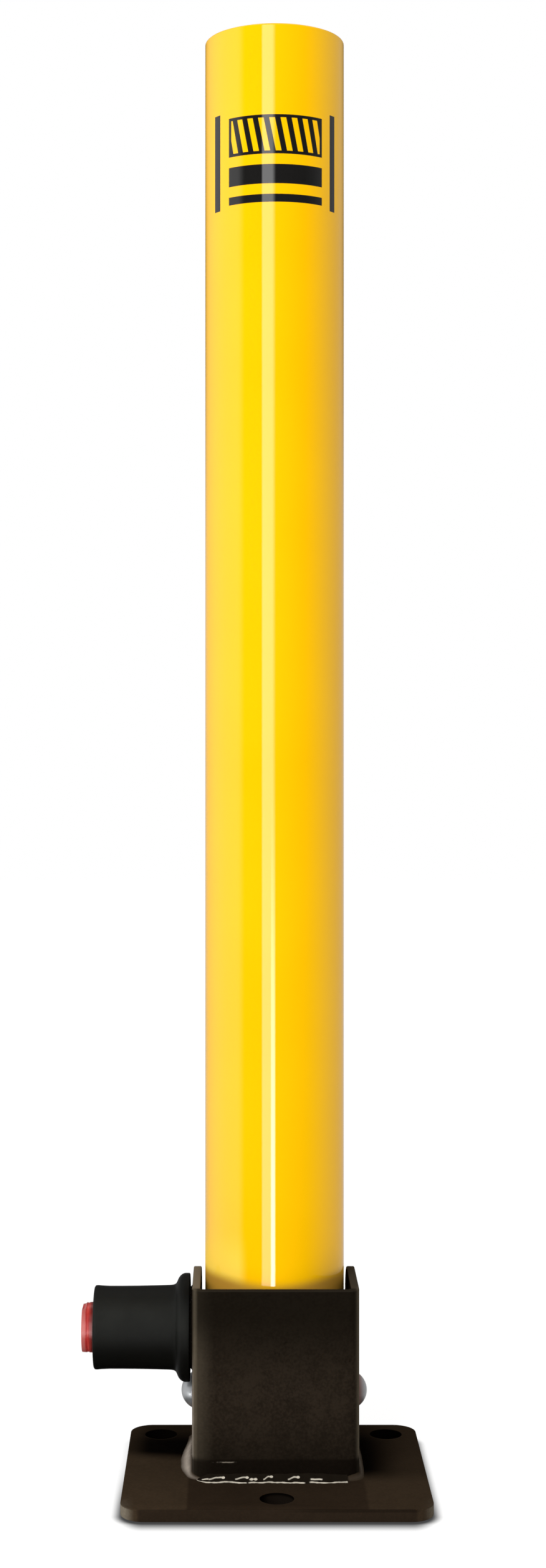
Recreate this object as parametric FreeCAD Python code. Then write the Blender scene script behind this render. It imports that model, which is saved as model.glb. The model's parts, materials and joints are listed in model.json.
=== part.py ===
import FreeCAD, Part
import math
import os

# Folding parking post: a round steel post pivots on a rivet between the walls of a folded U bracket,
# which is welded to a base plate. A push lock in a rubber boot on the left wall bolts the post upright.
# Millimetres. The origin is on the ground under the post's axis. +X is right, +Y is back, +Z is up.
# The post folds back over +Y. The model stands upright and unlocked, with the lock's plunger out.

Vec = FreeCAD.Vector

# Post
post_diameter = 60.3
post_wall = 2.0
overall_height = 619.0
top_disc_thickness = 3.0
top_disc_recess = 1.0
top_disc_clearance = 0.05
post_rim_radius = 0.8

# Base plate
plate_width = 128.0
plate_depth = 112.0
plate_thickness = 5.0
plate_corner_radius = 10.0
plate_edge_radius = 0.6
front_ledge = 36.65
anchor_hole_diameter = 14.0
anchor_hole_margin = 13.7

# Bracket and its welds
bracket_wall = 3.5
bracket_bend_radius = 1.8
bracket_above_lock = 24.2
bracket_behind_post = 24.2
bracket_corner_radius = 16.0
bracket_edge_radius = 0.5
post_side_gap = 1.7
post_front_gap = 0.5
front_weld_leg = 2.8
left_weld_leg = 5.5
right_weld_leg = 2.6
weld_hollow = 0.44

# Pivot
pivot_setback = 9.0
folded_gap = 4.25
foot_swing_gap = 1.0
foot_front_gap = 0.3
rivet_diameter = 10.0
rivet_head_diameter = 15.6
rivet_head_height = 5.4
rivet_hole_clearance = 0.05
bush_diameter = 16.0
bush_running_clearance = 0.08
bush_seat_clearance = 0.05
bush_end_clearance = 0.25

# Lock housing and boot
lock_above_pivot = 29.8
housing_diameter = 30.8
housing_weld_leg = 3.0
boot_standoff = 1.4
boot_flare_height = 7.5
boot_rim_width = 2.4
boot_flare_length = 5.2
boot_root_wall = 2.4
boot_waist_wall = 2.0
boot_mouth_wall = 2.3
boot_length = 41.6
boot_lip = 2.0
boot_edge_radius = 0.8
boot_clearance = 0.1
boot_mouth_clearance = 0.4
boot_weld_clearance = 0.7

# Lock plunger
plunger_travel = 7.0
barrel_diameter = 23.0
barrel_clearance = 0.1
barrel_length = 27.3
bolt_diameter = 10.0
bolt_chamfer = 2.4
bolt_tip_reach = 0.45
bolt_seat_length = 7.3
bolt_seat_clearance = 0.04
bolt_wall_clearance = 0.1
bolt_post_clearance = 0.5
bolt_pin_diameter = 2.5
guide_pin_diameter = 4.0
guide_pin_reach = 2.1
guide_pin_distance = 31.15
guide_clearance = 0.1
spring_wire = 1.2
spring_mean_diameter = 16.0
spring_turns = 5.0
spring_steps_per_turn = 12
spring_wire_sides = 8

# Key core, cam and cap
core_diameter = 14.0
core_clearance = 0.06
core_length = 12.0
core_tail_side = 5.0
key_slot_width = 2.2
key_slot_height = 9.0
key_slot_depth = 8.0
cam_thickness = 3.5
cam_hub_diameter = 13.6
cam_reach = 13.8
cam_width = 6.0
cam_turn = 90.0
cam_clearance = 0.3
cam_screw_diameter = 3.0
cam_screw_head_diameter = 6.0
cam_screw_head_height = 1.6
cam_screw_length = 7.0
cap_recess_depth = 2.2
cap_recess_diameter = 18.0
cap_spigot_clearance = 0.1
cap_diameter = 21.5
cap_length = 5.2
cap_crown = 0.3
cap_groove_depth = 0.35
cap_groove_width = 0.9
cap_notch_radius = 2.0

# Places that follow from the sizes
post_radius = post_diameter / 2
plate_top = plate_thickness
pivot_y = pivot_setback
pivot_rise = post_radius - pivot_setback + folded_gap
pivot_z = plate_top + pivot_rise
lock_z = pivot_z + lock_above_pivot
bracket_top = lock_z + bracket_above_lock
inner_half = post_radius + post_side_gap
outer_half = inner_half + bracket_wall
bracket_inner_front = -post_radius - post_front_gap
bracket_front = bracket_inner_front - bracket_wall
bracket_rear = bracket_behind_post
bend_outer = bracket_bend_radius + bracket_wall
plate_front = bracket_front - front_ledge
plate_rear = plate_front + plate_depth

# Places along the lock's axis, as distances out from the bracket's left wall
boot_end = boot_standoff + boot_length
housing_length = boot_end - boot_lip
housing_bore = barrel_diameter / 2 + barrel_clearance
barrel_out = boot_end
barrel_in = barrel_out - barrel_length
core_face = barrel_out - cap_recess_depth
core_back = core_face - core_length
core_bore = core_diameter / 2 + core_clearance
cam_out = core_back
cam_in = cam_out - cam_thickness
cam_pocket = cam_reach + cam_clearance
bolt_tip = -bracket_wall - bolt_tip_reach
bolt_back = barrel_in + bolt_seat_length
bolt_pin_place = barrel_in + bolt_seat_length / 2


def box(x0, x1, y0, y1, z0, z1):
    return Part.makeBox(x1 - x0, y1 - y0, z1 - z0, Vec(x0, y0, z0))


def cylinder_x(radius, x0, x1, y, z):
    return Part.makeCylinder(radius, x1 - x0, Vec(x0, y, z), Vec(1, 0, 0))


def cylinder_y(radius, x, y0, y1, z):
    return Part.makeCylinder(radius, y1 - y0, Vec(x, y0, z), Vec(0, 1, 0))


def cylinder_z(radius, x, y, z0, z1):
    return Part.makeCylinder(radius, z1 - z0, Vec(x, y, z0), Vec(0, 0, 1))


def line(start, end):
    return Part.makeLine(start, end)


def arc(start, middle, end):
    return Part.Arc(start, middle, end).toShape()


def filled(edges):
    return Part.Face(Part.Wire(edges))


def upright_edges(shape):
    return [e for e in shape.Edges if e.BoundBox.ZLength > 1 and e.BoundBox.XLength + e.BoundBox.YLength < 0.1]


# u is the distance out from the bracket's left wall, r the distance from the lock's axis

def lock_point(u, r):
    return Vec(-outer_half - u, 0, lock_z + r)


def lock_cylinder(radius, u0, u1):
    return cylinder_x(radius, -outer_half - u1, -outer_half - u0, 0, lock_z)


def lock_block(u0, u1, half_width, low, high):
    return box(-outer_half - u1, -outer_half - u0, -half_width, half_width, lock_z + low, lock_z + high)


def lock_turned(edges):
    return filled(edges).revolve(lock_point(0, 0), Vec(1, 0, 0), 360)


def closed_outline(points):
    corners = [lock_point(u, r) for u, r in points]
    return [line(a, b) for a, b in zip(corners, corners[1:] + corners[:1])]


def cam_sweep(u0, u1, outer_radius, inner_radius):
    margin = math.degrees(math.asin((cam_width / 2 + cam_clearance) / inner_radius))
    face = filled(closed_outline([(u0, 0), (u1, 0), (u1, outer_radius), (u0, outer_radius)]))
    face.rotate(lock_point(0, 0), Vec(1, 0, 0), -margin)
    return face.revolve(lock_point(0, 0), Vec(1, 0, 0), cam_turn + 2 * margin)


# Post

def post_tube():
    foot_reach = pivot_rise - foot_swing_gap
    foot = pivot_z - math.sqrt(foot_reach ** 2 - (post_radius - pivot_setback) ** 2)
    tube = cylinder_z(post_radius, 0, 0, foot, overall_height)
    tube = tube.makeFillet(post_rim_radius, [e for e in tube.Edges if e.BoundBox.ZMin > overall_height - 1])
    tube = tube.cut(cylinder_z(post_radius - post_wall, 0, 0, foot, overall_height))
    swing = pivot_setback + post_radius + post_front_gap - foot_front_gap
    below = box(-post_diameter, post_diameter, -post_diameter, post_diameter, foot, pivot_z)
    tube = tube.cut(below.cut(cylinder_x(swing, -post_diameter, post_diameter, pivot_y, pivot_z)))
    bush_hole = bush_diameter / 2 + bush_seat_clearance
    tube = tube.cut(cylinder_x(bush_hole, -post_diameter, post_diameter, pivot_y, pivot_z))
    return tube.cut(cylinder_x(bolt_diameter / 2 + bolt_post_clearance, -post_diameter, 0, 0, lock_z))


def top_disc():
    top = overall_height - top_disc_recess
    radius = post_radius - post_wall - top_disc_clearance
    return cylinder_z(radius, 0, 0, top - top_disc_thickness, top)


def pivot_bush():
    half = inner_half - bush_end_clearance
    bush = cylinder_x(bush_diameter / 2, -half, half, pivot_y, pivot_z)
    return bush.cut(cylinder_x(rivet_diameter / 2 + bush_running_clearance, -half, half, pivot_y, pivot_z))


# Base

def base_plate():
    plate = box(-plate_width / 2, plate_width / 2, plate_front, plate_rear, 0, plate_top)
    plate = plate.makeFillet(plate_corner_radius, upright_edges(plate))
    plate = plate.makeFillet(plate_edge_radius, [e for e in plate.Edges if e.BoundBox.ZMin > plate_top - 1])
    hole_x = plate_width / 2 - anchor_hole_margin
    rear_y = plate_rear - anchor_hole_margin
    front_y = plate_front + anchor_hole_margin
    for x, y in [(-hole_x, rear_y), (hole_x, rear_y), (0, front_y)]:
        plate = plate.cut(cylinder_z(anchor_hole_diameter / 2, x, y, 0, plate_top))
    return plate


def bent_block(half_width, front, bend):
    block = box(-half_width, half_width, front, bracket_rear, plate_top, bracket_top)
    return block.makeFillet(bend, [e for e in upright_edges(block) if e.BoundBox.YMax < front + 1])


def side_outline():
    corner_y = bracket_rear - bracket_corner_radius
    corner_z = bracket_top - bracket_corner_radius
    slant = bracket_corner_radius * math.sqrt(0.5)
    front_low = Vec(-outer_half, bracket_front, plate_top)
    front_high = Vec(-outer_half, bracket_front, bracket_top)
    round_start = Vec(-outer_half, corner_y, bracket_top)
    round_middle = Vec(-outer_half, corner_y + slant, corner_z + slant)
    round_end = Vec(-outer_half, bracket_rear, corner_z)
    rear_low = Vec(-outer_half, bracket_rear, plate_top)
    edges = [line(front_low, front_high), line(front_high, round_start),
             arc(round_start, round_middle, round_end), line(round_end, rear_low), line(rear_low, front_low)]
    return filled(edges).extrude(Vec(2 * outer_half, 0, 0))


def pivot_bracket():
    sheet = bent_block(outer_half, bracket_front, bend_outer)
    sheet = sheet.cut(bent_block(inner_half, bracket_inner_front, bracket_bend_radius))
    bracket = sheet.common(side_outline())
    top_rim = [e for e in bracket.Edges if e.BoundBox.ZMin > lock_z - 1 and e.BoundBox.XLength < 2 * inner_half
               and not (e.BoundBox.ZLength < 0.1 and e.BoundBox.YLength < 0.1 and e.BoundBox.XLength < inner_half)]
    front_rim = [e for e in bracket.Edges if e.BoundBox.ZMin > bracket_top - 0.1 and e.BoundBox.XLength > inner_half]
    rounded = {e.hashCode(): e for e in top_rim + front_rim}
    bracket = bracket.makeFillet(bracket_edge_radius, list(rounded.values()))
    pivot_hole = rivet_diameter / 2 + rivet_hole_clearance
    bracket = bracket.cut(cylinder_x(pivot_hole, -outer_half, outer_half, pivot_y, pivot_z))
    return bracket.cut(lock_cylinder(bolt_diameter / 2 + bolt_wall_clearance, -bracket_wall, 0))


def weld_section(corner, outward, leg):
    low = corner + outward * leg
    high = corner + Vec(0, 0, leg)
    middle = corner + outward * (leg * weld_hollow) + Vec(0, 0, leg * weld_hollow)
    return filled([line(corner, low), arc(low, middle, high), line(high, corner)])


def front_weld():
    half = outer_half - bend_outer
    section = weld_section(Vec(-half, bracket_front, plate_top), Vec(0, -1, 0), front_weld_leg)
    return section.extrude(Vec(2 * half, 0, 0))


def side_weld(side, leg):
    bend_start = bracket_front + bend_outer
    section = weld_section(Vec(side * outer_half, bend_start, plate_top), Vec(side, 0, 0), leg)
    straight = section.extrude(Vec(0, bracket_rear - bend_start, 0))
    bend_axis = Vec(side * (outer_half - bend_outer), bend_start, plate_top)
    return straight.fuse(section.revolve(bend_axis, Vec(0, 0, 1), -90 * side)).removeSplitter()


def left_weld():
    return side_weld(-1, left_weld_leg)


def right_weld():
    return side_weld(1, right_weld_leg)


def pivot_rivet():
    tip = outer_half + rivet_head_height
    head = rivet_head_diameter / 2
    shank = rivet_diameter / 2
    dome = (head ** 2 + rivet_head_height ** 2) / (2 * rivet_head_height)
    half_angle = math.acos((dome - rivet_head_height) / dome) / 2
    half_x = tip - dome + dome * math.cos(half_angle)
    half_r = dome * math.sin(half_angle)

    def at(x, r):
        return Vec(x, pivot_y, pivot_z + r)

    edges = [line(at(-tip, 0), at(tip, 0)),
             arc(at(tip, 0), at(half_x, half_r), at(outer_half, head)),
             line(at(outer_half, head), at(outer_half, shank)),
             line(at(outer_half, shank), at(-outer_half, shank)),
             line(at(-outer_half, shank), at(-outer_half, head)),
             arc(at(-outer_half, head), at(-half_x, half_r), at(-tip, 0))]
    return filled(edges).revolve(at(0, 0), Vec(1, 0, 0), 360)


# Lock housing and boot

def guide_pin():
    tip = lock_z - barrel_diameter / 2 + guide_pin_reach
    foot = lock_z - housing_diameter / 2 + boot_clearance
    return cylinder_z(guide_pin_diameter / 2, -outer_half - guide_pin_distance, 0, foot, tip)


def lock_housing():
    tube = lock_cylinder(housing_diameter / 2, 0, housing_length)
    tube = tube.cut(lock_cylinder(housing_bore, 0, housing_length))
    locked_cam_in = cam_in - plunger_travel
    slot_half = cam_width / 2 + cam_clearance
    tube = tube.cut(lock_block(locked_cam_in - cam_clearance, housing_length, slot_half, 0, cam_pocket))
    for start in (cam_in, locked_cam_in):
        pocket = cam_sweep(start - cam_clearance, start + cam_thickness + cam_clearance, cam_pocket, housing_bore)
        tube = tube.cut(pocket)
    return tube.cut(guide_pin())


def housing_weld():
    radius = housing_diameter / 2
    return lock_turned(closed_outline([(0, radius), (housing_weld_leg, radius), (0, radius + housing_weld_leg)]))


def lock_boot():
    bore = housing_diameter / 2 + boot_clearance
    opening = barrel_diameter / 2 + boot_mouth_clearance
    mouth = bore + boot_mouth_wall
    rim_end = boot_standoff + boot_rim_width
    edge_slant = boot_edge_radius * (1 - math.sqrt(0.5))
    weld_room = housing_weld_leg + boot_weld_clearance

    def flare_point(along, up):
        rise = boot_root_wall + (boot_flare_height - boot_root_wall) * up
        return lock_point(rim_end + boot_flare_length * along, bore + rise)

    back_inner = lock_point(boot_standoff, bore + weld_room - boot_standoff)
    back_outer = lock_point(boot_standoff, bore + boot_flare_height)
    flare_start = flare_point(0, 1)
    flare_bend = flare_point(0.62, 0.34)
    flare_end = flare_point(1, 0)
    waist = lock_point(boot_end * 0.85, bore + boot_waist_wall)
    edge_start = lock_point(boot_end - boot_edge_radius, mouth)
    edge_middle = lock_point(boot_end - edge_slant, mouth - edge_slant)
    face_outer = lock_point(boot_end, mouth - boot_edge_radius)
    face_inner = lock_point(boot_end, opening)
    lip = lock_point(housing_length, opening)
    seat = lock_point(housing_length, bore)
    skirt = lock_point(weld_room, bore)
    return lock_turned([
        line(back_inner, back_outer), line(back_outer, flare_start),
        arc(flare_start, flare_point(0.42, 0.74), flare_bend),
        arc(flare_bend, flare_point(0.76, 0.1), flare_end),
        line(flare_end, waist), line(waist, edge_start), arc(edge_start, edge_middle, face_outer),
        line(face_outer, face_inner), line(face_inner, lip), line(lip, seat), line(seat, skirt),
        line(skirt, back_inner)])


# Lock plunger

def bolt_pin():
    half = barrel_diameter / 2 - barrel_clearance
    return cylinder_y(bolt_pin_diameter / 2, -outer_half - bolt_pin_place, -half, half, lock_z)


def lock_barrel():
    radius = barrel_diameter / 2
    barrel = lock_cylinder(radius, barrel_in, barrel_out)
    barrel = barrel.cut(lock_cylinder(bolt_diameter / 2 + bolt_seat_clearance, barrel_in, barrel_out))
    barrel = barrel.cut(lock_cylinder(core_bore, cam_in - cam_clearance, barrel_out))
    barrel = barrel.cut(lock_cylinder(cap_recess_diameter / 2, core_face, barrel_out))
    window = cam_sweep(cam_in - cam_clearance, cam_out + cam_clearance, radius + cam_clearance,
                       cam_hub_diameter / 2)
    half = guide_pin_diameter / 2 + guide_clearance
    groove = lock_block(guide_pin_distance - half, guide_pin_distance + plunger_travel + half, half, -radius,
                        guide_pin_reach + guide_clearance - radius)
    return barrel.cut(window).cut(groove).cut(bolt_pin())


def locking_bolt():
    radius = bolt_diameter / 2
    bolt = lock_turned(closed_outline([
        (bolt_tip, 0), (bolt_tip, radius - bolt_chamfer), (bolt_tip + bolt_chamfer, radius),
        (bolt_back, radius), (bolt_back, 0)]))
    return bolt.cut(bolt_pin())


def spring_section(turn):
    angle = 2 * math.pi * turn
    outward = Vec(0, math.sin(angle), math.cos(angle))
    rise = (barrel_in - spring_wire) / spring_turns
    centre = lock_point(spring_wire / 2 + rise * turn, 0) + outward * (spring_mean_diameter / 2)
    corners = []
    for side in range(spring_wire_sides):
        around = 2 * math.pi * side / spring_wire_sides
        corners.append(centre + outward * (spring_wire / 2 * math.cos(around))
                       + Vec(spring_wire / 2 * math.sin(around), 0, 0))
    return Part.makePolygon(corners + corners[:1])


def plunger_spring():
    steps = round(spring_turns * spring_steps_per_turn)
    return Part.makeLoft([spring_section(step / spring_steps_per_turn) for step in range(steps + 1)], True, True)


# Key core, cam and cap

def cam_screw():
    head = lock_cylinder(cam_screw_head_diameter / 2, cam_in - cam_screw_head_height, cam_in)
    shank = lock_cylinder(cam_screw_diameter / 2, cam_in - cam_screw_head_height, cam_in + cam_screw_length)
    return head.fuse(shank).removeSplitter()


def key_core():
    half = core_tail_side / 2
    core = lock_cylinder(core_diameter / 2, core_back, core_face)
    core = core.fuse(lock_block(cam_in, core_back, half, -half, half)).removeSplitter()
    slot = lock_block(core_face - key_slot_depth, core_face, key_slot_width / 2, -key_slot_height / 2,
                      key_slot_height / 2)
    return core.cut(slot).cut(cam_screw())


def locking_cam():
    hub = lock_cylinder(cam_hub_diameter / 2, cam_in, cam_out)
    lobe = lock_block(cam_in, cam_out, cam_width / 2, 0, cam_reach)
    lobe = lobe.common(lock_cylinder(cam_reach, cam_in, cam_out))
    half = core_tail_side / 2 + core_clearance
    return hub.fuse(lobe).removeSplitter().cut(lock_block(cam_in, cam_out, half, -half, half))


def dust_cap():
    rim = cap_diameter / 2
    face = barrel_out + cap_length
    spigot = cap_recess_diameter / 2 - cap_spigot_clearance
    spigot_in = core_face + cap_spigot_clearance
    crown_start = lock_point(barrel_out, rim)
    crown_end = lock_point(face, rim - cap_crown)
    spigot_centre = lock_point(spigot_in, 0)
    spigot_edge = lock_point(spigot_in, spigot)
    spigot_root = lock_point(barrel_out, spigot)
    face_centre = lock_point(face, 0)
    cap = lock_turned([
        line(spigot_centre, spigot_edge), line(spigot_edge, spigot_root), line(spigot_root, crown_start),
        line(crown_start, crown_end), line(crown_end, face_centre), line(face_centre, spigot_centre)])
    groove_in = barrel_out + cap_length * 0.4
    groove_out = groove_in + cap_groove_width
    groove = lock_cylinder(rim, groove_in, groove_out)
    cap = cap.cut(groove.cut(lock_cylinder(rim - cap_groove_depth, groove_in, groove_out)))
    return cap.cut(cylinder_y(cap_notch_radius, -outer_half - face, -rim, rim, lock_z + rim))


nodes = [
    base_plate, pivot_bracket, front_weld, left_weld, right_weld, pivot_rivet, lock_housing, housing_weld,
    guide_pin, lock_boot, plunger_spring, post_tube, top_disc, pivot_bush, lock_barrel, locking_bolt, bolt_pin,
    key_core, locking_cam, cam_screw, dust_cap,
]

os.makedirs("parts", exist_ok=True)
for make in nodes:
    shape = make()
    shape.exportStep("parts/" + make.__name__ + ".step")
    print(make.__name__, len(shape.Solids), shape.isValid(), round(shape.Volume, 1))
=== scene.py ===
import json
import math

import bmesh
import bpy
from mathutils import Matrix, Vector


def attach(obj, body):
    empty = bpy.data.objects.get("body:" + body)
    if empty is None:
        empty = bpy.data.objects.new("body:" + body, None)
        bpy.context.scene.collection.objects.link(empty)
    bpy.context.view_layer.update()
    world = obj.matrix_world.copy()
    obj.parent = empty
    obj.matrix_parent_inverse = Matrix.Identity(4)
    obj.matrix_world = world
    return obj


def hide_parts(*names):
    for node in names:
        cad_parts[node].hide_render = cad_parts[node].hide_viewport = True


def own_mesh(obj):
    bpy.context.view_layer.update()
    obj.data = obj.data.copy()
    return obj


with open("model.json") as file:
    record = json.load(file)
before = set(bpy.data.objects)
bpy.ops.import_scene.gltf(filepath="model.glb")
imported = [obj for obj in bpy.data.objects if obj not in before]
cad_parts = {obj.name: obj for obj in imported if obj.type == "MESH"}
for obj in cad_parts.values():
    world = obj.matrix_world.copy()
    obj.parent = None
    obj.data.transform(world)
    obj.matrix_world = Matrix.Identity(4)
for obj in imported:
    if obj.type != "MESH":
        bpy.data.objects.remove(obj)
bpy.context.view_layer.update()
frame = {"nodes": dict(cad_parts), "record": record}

scene = bpy.context.scene
mm = 0.001


# node maths: one wrapped socket, used like a number

class Wire:
    def __init__(self, tree, socket=None):
        self.tree = tree
        self.socket = socket

    def node(self, kind, settings=None, **sockets):
        made = self.tree.nodes.new(kind)
        for name, value in (settings or {}).items():
            if name == "capture_items":
                made.capture_items.new(value, "kept")
            else:
                setattr(made, name, value)
        for name, value in sockets.items():
            byNumber = name[0] == "i" and name[1:].isdigit()
            target = made.inputs[int(name[1:]) if byNumber else name.replace("_", " ")]
            if isinstance(value, Wire):
                self.tree.links.new(value.socket, target)
            else:
                target.default_value = value
        return Wire(self.tree, made.outputs[0] if made.outputs else None)

    def out(self, key):
        return Wire(self.tree, self.socket.node.outputs[key])

    def op(self, kind, *values):
        inputs = {"i%d" % i: value for i, value in enumerate(values)}
        return self.node("ShaderNodeMath", {"operation": kind}, **inputs)

    def vector(self, kind, *values):
        inputs = {"i%d" % i: value for i, value in enumerate(values)}
        return self.node("ShaderNodeVectorMath", {"operation": kind}, **inputs)

    def __add__(self, other):
        return self.op("ADD", self, other)

    def __radd__(self, other):
        return self.op("ADD", other, self)

    def __sub__(self, other):
        return self.op("SUBTRACT", self, other)

    def __rsub__(self, other):
        return self.op("SUBTRACT", other, self)

    def __mul__(self, other):
        return self.op("MULTIPLY", self, other)

    def __rmul__(self, other):
        return self.op("MULTIPLY", other, self)

    def __truediv__(self, other):
        return self.op("DIVIDE", self, other)

    def __rtruediv__(self, other):
        return self.op("DIVIDE", other, self)

    def __neg__(self):
        return 0.0 - self

    def __abs__(self):
        return self.op("ABSOLUTE", self)

    def above(self, low, high):     # eases from 0 at low to 1 at high
        return self.node("ShaderNodeMapRange", {"interpolation_type": "SMOOTHSTEP"},
                         Value=self, From_Min=low, From_Max=high)

    def below(self, low, high):
        return 1.0 - self.above(low, high)

    def band(self, low, high, soft):
        return self.above(low - soft, low + soft) * self.below(high - soft, high + soft)

    def between(self, first, second):
        return (second - first) * self + first

    def colours(self, first, second):
        return self.node("ShaderNodeMix", {"data_type": "RGBA"}, i0=self, i6=first, i7=second).out(2)


def newMaterial(name, look):
    made = bpy.data.materials.new(name)
    made.use_nodes = True
    shader = made.node_tree.nodes["Principled BSDF"]
    for key, value in look.items():
        shader.inputs[key].default_value = value
    place = Wire(made.node_tree).node("ShaderNodeTexCoord").out("Object")
    return made, shader, place


def feed(shader, **values):
    for name, value in values.items():
        shader.id_data.links.new(value.socket, shader.inputs[name.replace("_", " ")])


def noise(place, scale, detail=2.0, rough=0.5):
    return place.node("ShaderNodeTexNoise", {}, Vector=place, Scale=scale, Detail=detail, Roughness=rough)


def axes(place):
    parts = place.node("ShaderNodeSeparateXYZ", {}, Vector=place)
    return parts.out("X"), parts.out("Y"), parts.out("Z")


def inMillimetres(place):
    return tuple(part * (1 / mm) for part in axes(place))


def bump(place, height, strength, distance):
    return place.node("ShaderNodeBump", {}, Strength=strength, Distance=distance, Height=height)


# sizes that finishes and meshes share

lockZ = 60.2 * mm       # height of the lock's axis
pivotY = 9 * mm         # the post's hinge
pivotZ = 30.4 * mm
post = {"radius": 30.15 * mm, "wall": 2 * mm, "top": 619 * mm, "foot": 18.23 * mm, "rim": 0.8 * mm,
        "chamfer": 0.3 * mm, "rings": (90 * mm, 92 * mm), "rimRings": (3 * mm, 0.4 * mm),
        "innerRing": 8 * mm, "swing": 39.35 * mm, "bushHole": 8.05 * mm, "lockHole": 5.5 * mm}
plate = {"left": -64 * mm, "right": 64 * mm, "front": -70.8 * mm, "back": 41.2 * mm, "thick": 5 * mm,
         "corner": 10 * mm, "hole": 7 * mm, "edge": 0.7 * mm,
         "holes": ((-50.3 * mm, 27.5 * mm), (50.3 * mm, 27.5 * mm), (0, -57.1 * mm))}


# finishes: places in millimetres, turns in degrees from the front, right is positive

yellowLook = {"Base Color": (0.93, 0.50, 0.001, 1), "Roughness": 0.5, "Specular IOR Level": 0.0,
              "Coat Weight": 1.0, "Coat Roughness": 0.03, "Coat IOR": 1.5}
yellowTones = {"deep": (0.92, 0.490, 0.0008, 1), "light": (0.94, 0.51, 0.0016, 1),
               "paintedWash": (0.93, 0.61, 0.062, 1), "shadeTone": (0.47, 0.245, 0.032, 1),
               "print": (0.010, 0.0095, 0.009, 1)}
panel = {"side": 41.0, "low": 563.8, "high": 580.4, "line": 1.3,
         "stripes": 9, "slant": 0.042, "stripe": (0.25, 0.75, 0.02),
         "bars": ((551.2, 559.4), (543.4, 546.8)), "strokes": ((-58.6, -51.1), (50.4, 57.3)),
         "strokeLow": 541.9, "strokeHigh": 583.0, "softTurn": 0.2, "softRise": 0.1}
# painted shade on the tube just above the bracket, and to its left a duller, paler patch painted in place
# of the coat's reflection
footShading = {"start": (64, 82), "end": (82.8, 88.2), "sag": 1.8, "sagTurn": (5, 60), "sides": (85, 115),
             "middle": (-20, 45), "coatTurn": (6, 40), "washRise": (72, 99, 11), "washTurn": (-34, -22)}


def printMark(turn, z):
    side, low, high, line = panel["side"], panel["low"], panel["high"], panel["line"]
    softTurn, softRise = panel["softTurn"], panel["softRise"]
    rim = math.degrees(line * mm / post["radius"])
    inner = turn.band(-side + rim, side - rim, softTurn) * z.band(low + line, high - line, softRise)
    slant = turn * (panel["stripes"] / (2 * side)) + z * panel["slant"]
    hatch = slant.op("FRACT", slant + 100.0).band(*panel["stripe"])     # the 100 keeps it above zero
    mark = turn.band(-side, side, softTurn) * z.band(low, high, softRise) * (1.0 - inner) + inner * hatch
    for barLow, barHigh in panel["bars"]:
        mark = mark + turn.band(-side, side, softTurn) * z.band(barLow, barHigh, softRise)
    tall = z.band(panel["strokeLow"], panel["strokeHigh"], softRise)
    for start, end in panel["strokes"]:
        mark = mark + turn.band(start, end, softTurn) * tall
    return mark


def yellowPaint():
    made, shader, place = newMaterial("yellowPaint", yellowLook)
    x, y, z = inMillimetres(place)
    turn = x.op("ARCTAN2", x, -y) * (180 / math.pi)
    aside = abs(turn)
    tone = noise(place, 14.0).above(0.3, 0.7).colours(yellowTones["deep"], yellowTones["light"])
    # painted shade on the tube's front just above the bracket's rim, stronger at the sides and with less
    # coat; to its left a painted reflection, a paler patch with less coat
    ahead = aside.below(*footShading["sides"])
    sunk = z - aside.above(*footShading["sagTurn"]) * footShading["sag"]
    shaded = sunk.below(*footShading["end"]) * z.above(*footShading["start"]) * ahead
    paintedWash = z.band(*footShading["washRise"]) * turn.below(*footShading["washTurn"]) * ahead
    tone = paintedWash.colours(tone, yellowTones["paintedWash"])
    shadeAmount = shaded * aside.above(*footShading["middle"]).between(0.45, 1.0)
    tone = shadeAmount.colours(tone, yellowTones["shadeTone"])
    tone = printMark(turn, z).colours(tone, yellowTones["print"])
    coat = (1.0 - shaded * aside.above(*footShading["coatTurn"]) * 0.75) * (1.0 - paintedWash * 0.8)
    peel = bump(place, noise(place, 260.0, 1.0), 0.008, 0.2 * mm)
    feed(shader, Base_Color=tone, Coat_Weight=coat, Normal=peel)
    return made


darkLook = {"Base Color": (0.013, 0.0092, 0.0066, 1), "Roughness": 0.5, "Specular IOR Level": 0.0}
wallTones = {"high": (0.0086, 0.0066, 0.0044, 1), "low": (0.0230, 0.0166, 0.0113, 1),
             "patch": (0.0050, 0.0036, 0.0024, 1), "strip": (0.0050, 0.0034, 0.0024, 1),
             "bendHighlight": (0.105, 0.086, 0.060, 1), "edge": (0.27, 0.232, 0.188, 1),
             "speck": (0.0045, 0.0032, 0.0022, 1), "rim": (0.140, 0.116, 0.086, 1),
             "scratch": (0.22, 0.19, 0.15, 1)}
wallZones = {"fade": (38, 76), "foot": (6, 32), "strip": (12.9, 14.2), "aboveStrip": (12, 15),
             "ahead": (-31, -24), "leftBend": (-34.2, -32.6), "leftGlow": (-33.5, -25),
             "glowFade": (52, 76), "leftSide": (-35.3, -34.5), "rightBend": (32.6, 35.6),
             "rightFade": (16, 48), "leftEdge": (-35.2, -34.2), "edgeFade": (34, 60),
             "specks": (13, 16), "rim": (83.7, 84.3), "rimSides": (-32, -28), "rimLeft": (-5, 5)}


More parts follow.
